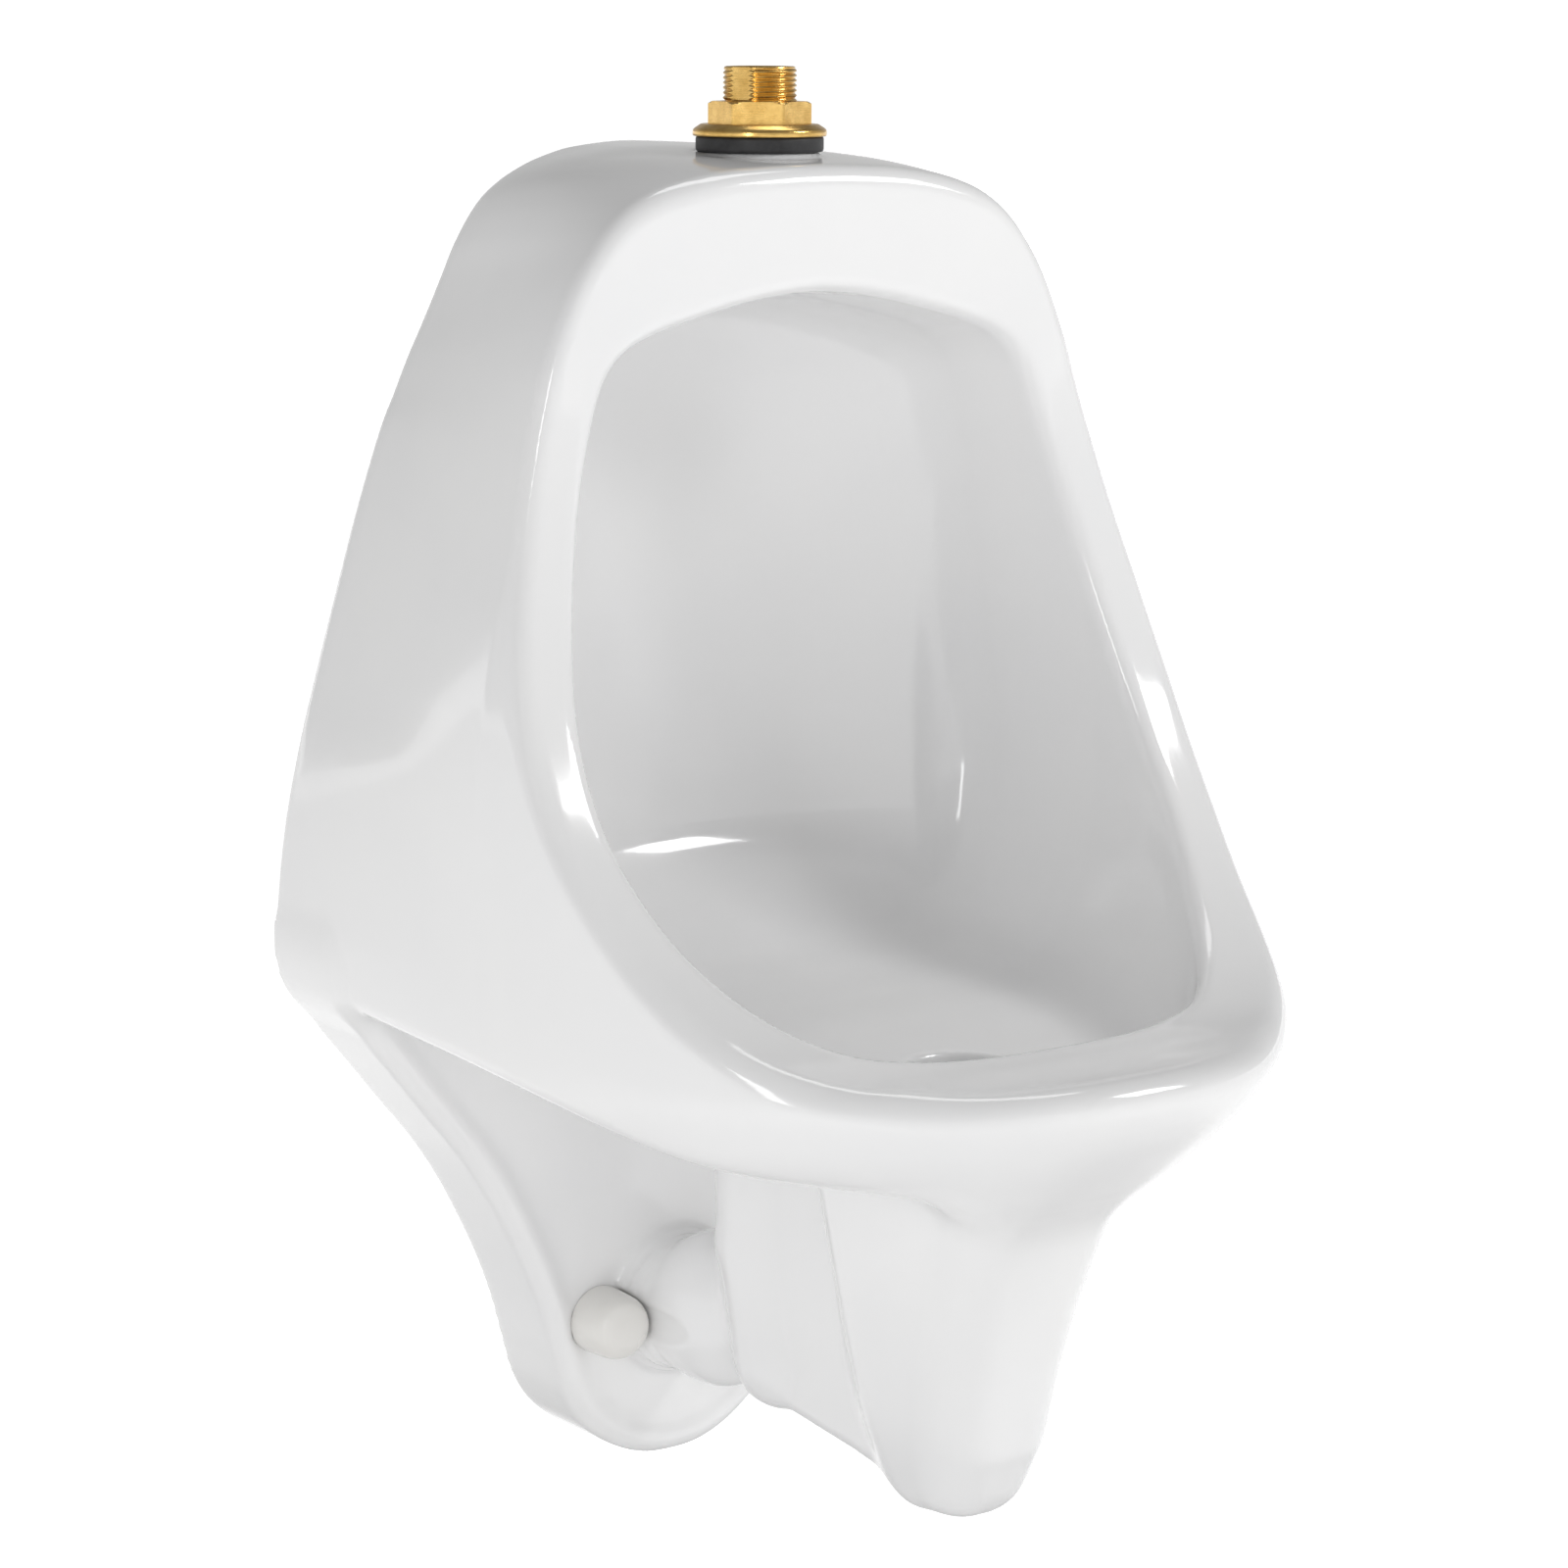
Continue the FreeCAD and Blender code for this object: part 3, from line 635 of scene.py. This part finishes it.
def bump(nt, b, src, strength, dist, chain=None):
    n = N(nt, "ShaderNodeBump")
    n.inputs["Strength"].default_value = strength
    n.inputs["Distance"].default_value = dist
    nt.links.new(src, n.inputs["Height"])
    if chain is not None:
        nt.links.new(chain, n.inputs["Normal"])
    nt.links.new(n.outputs["Normal"], b.inputs["Normal"])
    return n.outputs["Normal"]


def m_china():
    m, nt, b = mat("glazed_china")
    n1 = noise_of(nt, 9.0, 3.0)
    nt.links.new(ramp(nt, n1.outputs["Fac"], (0.845, 0.845, 0.849), (0.870, 0.868, 0.866)), b.inputs["Base Color"])
    n2 = noise_of(nt, 45.0, 2.0)
    nt.links.new(span(nt, n2.outputs["Fac"], 0.09, 0.15), b.inputs["Roughness"])
    b.inputs["IOR"].default_value = 1.5
    b.inputs["Coat Weight"].default_value = 0.25
    b.inputs["Coat Roughness"].default_value = 0.04
    wav = noise_of(nt, 22.0, 1.0)
    pin = noise_of(nt, 420.0, 2.0)
    c = bump(nt, b, wav.outputs["Fac"], 0.05, 0.004)
    bump(nt, b, pin.outputs["Fac"], 0.02, 0.0004, c)
    return m


def m_brass(name="spud_brass", lo=(0.56, 0.33, 0.085), hi=(0.86, 0.58, 0.20), r0=0.14, r1=0.34):
    m, nt, b = mat(name)
    b.inputs["Metallic"].default_value = 1.0
    n1 = noise_of(nt, 130.0, 5.0, 0.6)
    nt.links.new(ramp(nt, n1.outputs["Fac"], lo, hi, 0.25, 0.72), b.inputs["Base Color"])
    n2 = noise_of(nt, 60.0, 4.0, 0.6)
    nt.links.new(span(nt, n2.outputs["Fac"], r0, r1), b.inputs["Roughness"])
    tool = noise_of(nt, 90.0, 2.0, 0.5, (1.0, 1.0, 30.0))
    c = bump(nt, b, tool.outputs["Fac"], 0.12, 0.0004)
    cast = noise_of(nt, 700.0, 3.0, 0.6)
    bump(nt, b, cast.outputs["Fac"], 0.10, 0.0003, c)
    return m


def m_rubber():
    m, nt, b = mat("black_rubber")
    n1 = noise_of(nt, 180.0, 4.0)
    nt.links.new(ramp(nt, n1.outputs["Fac"], (0.010, 0.010, 0.011), (0.032, 0.032, 0.034)), b.inputs["Base Color"])
    nt.links.new(span(nt, n1.outputs["Fac"], 0.42, 0.68), b.inputs["Roughness"])
    g = noise_of(nt, 900.0, 2.0)
    bump(nt, b, g.outputs["Fac"], 0.2, 0.0003)
    return m


def m_plastic():
    m, nt, b = mat("cap_plastic")
    n1 = noise_of(nt, 35.0, 3.0)
    nt.links.new(ramp(nt, n1.outputs["Fac"], (0.80, 0.785, 0.755), (0.85, 0.838, 0.81)), b.inputs["Base Color"])
    nt.links.new(span(nt, n1.outputs["Fac"], 0.20, 0.32), b.inputs["Roughness"])
    b.inputs["Subsurface Weight"].default_value = 0.0
    g = noise_of(nt, 500.0, 2.0)
    bump(nt, b, g.outputs["Fac"], 0.06, 0.0003)
    return m


def m_steel(name, lo, hi, r0, r1, stretch, sc=120.0, metal=1.0, bs=0.15):
    m, nt, b = mat(name)
    b.inputs["Metallic"].default_value = metal
    n1 = noise_of(nt, sc, 4.0, 0.6, stretch)
    nt.links.new(ramp(nt, n1.outputs["Fac"], lo, hi), b.inputs["Base Color"])
    nt.links.new(span(nt, n1.outputs["Fac"], r0, r1), b.inputs["Roughness"])
    bump(nt, b, n1.outputs["Fac"], bs, 0.0004)
    return m


def m_stage():
    m, nt, b = mat("studio_floor")
    n1 = noise_of(nt, 3.0, 2.0)
    nt.links.new(ramp(nt, n1.outputs["Fac"], (0.81, 0.81, 0.81), (0.84, 0.84, 0.84)), b.inputs["Base Color"])
    nt.links.new(span(nt, n1.outputs["Fac"], 0.75, 0.85), b.inputs["Roughness"])
    b.inputs["Specular IOR Level"].default_value = 0.1
    b.inputs["Emission Color"].default_value = (1, 1, 1, 1)
    # the sheet glows as a white backdrop away from the object; the dim patch right under it is a painted shade pool
    geo = nt.nodes.new("ShaderNodeNewGeometry")
    ln = nt.nodes.new("ShaderNodeVectorMath")
    ln.operation = "LENGTH"
    nt.links.new(geo.outputs["Position"], ln.inputs[0])
    glow_with_painted_shade_pool = nt.nodes.new("ShaderNodeMapRange")
    glow_with_painted_shade_pool.interpolation_type = "SMOOTHSTEP"
    glow_with_painted_shade_pool.inputs["From Min"].default_value = 0.80
    glow_with_painted_shade_pool.inputs["From Max"].default_value = 1.40
    glow_with_painted_shade_pool.inputs["To Min"].default_value = 0.05
    glow_with_painted_shade_pool.inputs["To Max"].default_value = 0.82
    nt.links.new(ln.outputs["Value"], glow_with_painted_shade_pool.inputs["Value"])
    nt.links.new(glow_with_painted_shade_pool.outputs["Result"], b.inputs["Emission Strength"])
    return m


china = build_china()
spud = build_spud()
nut = build_locknut()
turned = build_turned()

M = {"china": m_china(), "brass": m_brass(), "bolt": m_brass("bolt_brass", (0.45, 0.30, 0.10), (0.72, 0.50, 0.20), 0.22, 0.42),
     "rubber": m_rubber(), "plastic": m_plastic(),
     "steel": m_steel("brushed_steel", (0.50, 0.50, 0.51), (0.66, 0.66, 0.67), 0.20, 0.34, (1.0, 18.0, 1.0)),
     "iron": m_steel("cast_iron", (0.045, 0.045, 0.048), (0.10, 0.10, 0.105), 0.5, 0.75, None, 260.0, 0.4, 0.5),
     "zinc": m_steel("zinc_plate", (0.45, 0.46, 0.47), (0.62, 0.63, 0.66), 0.28, 0.46, None, 70.0)}


def give(ob, m):
    ob.data.materials.clear()
    ob.data.materials.append(m)


def place(ob, body, node, m):
    give(ob, m)
    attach(ob, body)
    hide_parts(node)


place(china, "fixture", "china_body", M["china"])
place(spud, "fixture", "spud_tube", M["brass"])
place(nut, "fixture", "spud_locknut", M["brass"])
place(turned["spud_collar"], "fixture", "spud_collar", M["brass"])
place(turned["spud_gasket"], "fixture", "spud_gasket", M["rubber"])
place(turned["bolt_cap_left"], "cap_left", "bolt_cap_left", M["plastic"])
place(turned["bolt_cap_right"], "cap_right", "bolt_cap_right", M["plastic"])
slot_m = {"black_rubber": "rubber", "steel": "steel", "cast_iron": "iron", "bolt_brass": "bolt", "spud_brass": "brass",
          "cap_plastic": "plastic", "hanger_steel": "zinc", "china": "china"}
for sp in frame["record"]["subparts"]:
    ob = frame["nodes"].get(sp["node"])
    if ob is not None:
        for i in range(max(1, len(ob.data.materials))):
            if len(ob.data.materials) == 0:
                ob.data.materials.append(M[slot_m[sp["material_slot"]]])
            else:
                ob.data.materials[i] = M[slot_m[sp["material_slot"]]]

# ------------------------------------------------------------------ stage, lights, camera
E = 400.0
floor = new_obj("studio_floor_sheet", [(-E, -E, -0.62), (E, -E, -0.62), (E, E, -0.62), (-E, E, -0.62), (-E, -E, 14), (E, -E, 14), (E, E, 14), (-E, E, 14)],
                [(0, 1, 2, 3), (0, 4, 5, 1), (1, 5, 6, 2), (2, 6, 7, 3), (3, 7, 4, 0)], smooth=False)
give(floor, m_stage())

world = bpy.data.worlds.new("studio")
bpy.context.scene.world = world
world.use_nodes = True
bg = next(n for n in world.node_tree.nodes if n.type == "BACKGROUND")
bg.inputs["Color"].default_value = (1.0, 1.0, 1.0, 1)
bg.inputs["Strength"].default_value = 0.5
# pale sky, lighter towards the horizon
wt = world.node_tree
tc = wt.nodes.new("ShaderNodeTexCoord")
sp = wt.nodes.new("ShaderNodeSeparateXYZ")
wt.links.new(tc.outputs["Generated"], sp.inputs[0])
wr = wt.nodes.new("ShaderNodeMapRange")
wr.interpolation_type = "SMOOTHSTEP"
wr.inputs["From Min"].default_value = 0.0
wr.inputs["From Max"].default_value = 0.6
wr.inputs["To Min"].default_value = 0.58
wr.inputs["To Max"].default_value = 0.24
wt.links.new(sp.outputs["Z"], wr.inputs["Value"])
wt.links.new(wr.outputs["Result"], bg.inputs["Strength"])


def area(name, loc, target, size, size_y, power, shape="RECTANGLE"):
    L = bpy.data.lights.new(name, "AREA")
    L.shape = shape
    L.size = size
    L.size_y = size_y
    L.energy = power
    ob = bpy.data.objects.new(name, L)
    bpy.context.scene.collection.objects.link(ob)
    ob.location = loc
    v = Vector(target) - Vector(loc)
    ob.rotation_euler = v.to_track_quat("-Z", "Y").to_euler()
    return ob


key_dir = Vector((0.62, -0.58, 0.60)).normalized()
area("key_right", Vector((0, -0.15, 0.25)) + key_dir * 2.4, (0, -0.15, 0.25), 0.6, 0.6, 17.0)
area("strip_left", (-1.75, -1.35, 0.75), (0, -0.15, 0.25), 0.3, 1.2, 8.0)
area("top_back", (0.5, 0.15, 1.9), (0, -0.2, 0.3), 0.8, 0.4, 3.0)
bpy.context.scene.view_settings.view_transform = "Standard"

AZ, PI_, RO, F, TX, TY, DIST = math.radians(-36.8), math.radians(10.6), math.radians(0.3), 4465.0, 15.0, 34.0, 2.0
b = Vector((math.sin(AZ) * math.cos(PI_), -math.cos(AZ) * math.cos(PI_), math.sin(PI_)))
r = Vector((math.cos(AZ), math.sin(AZ), 0.0))
u = b.cross(r)
r2 = r * math.cos(RO) + u * math.sin(RO)
u2 = -r * math.sin(RO) + u * math.cos(RO)
cam = bpy.data.cameras.new("camera")
co = bpy.data.objects.new("camera", cam)
bpy.context.scene.collection.objects.link(co)
mw = Matrix((r2, u2, b)).transposed().to_4x4()
mw.translation = Vector((0, -0.15, 0.255)) + b * DIST
co.matrix_world = mw
cam.sensor_width = 36.0
cam.sensor_fit = "HORIZONTAL"
cam.lens = F / 1600.0 * 36.0
cam.shift_x = -TX / 1600.0
cam.shift_y = TY / 1600.0
cam.clip_end = 2000.0
bpy.context.scene.camera = co

bpy.context.view_layer.update()
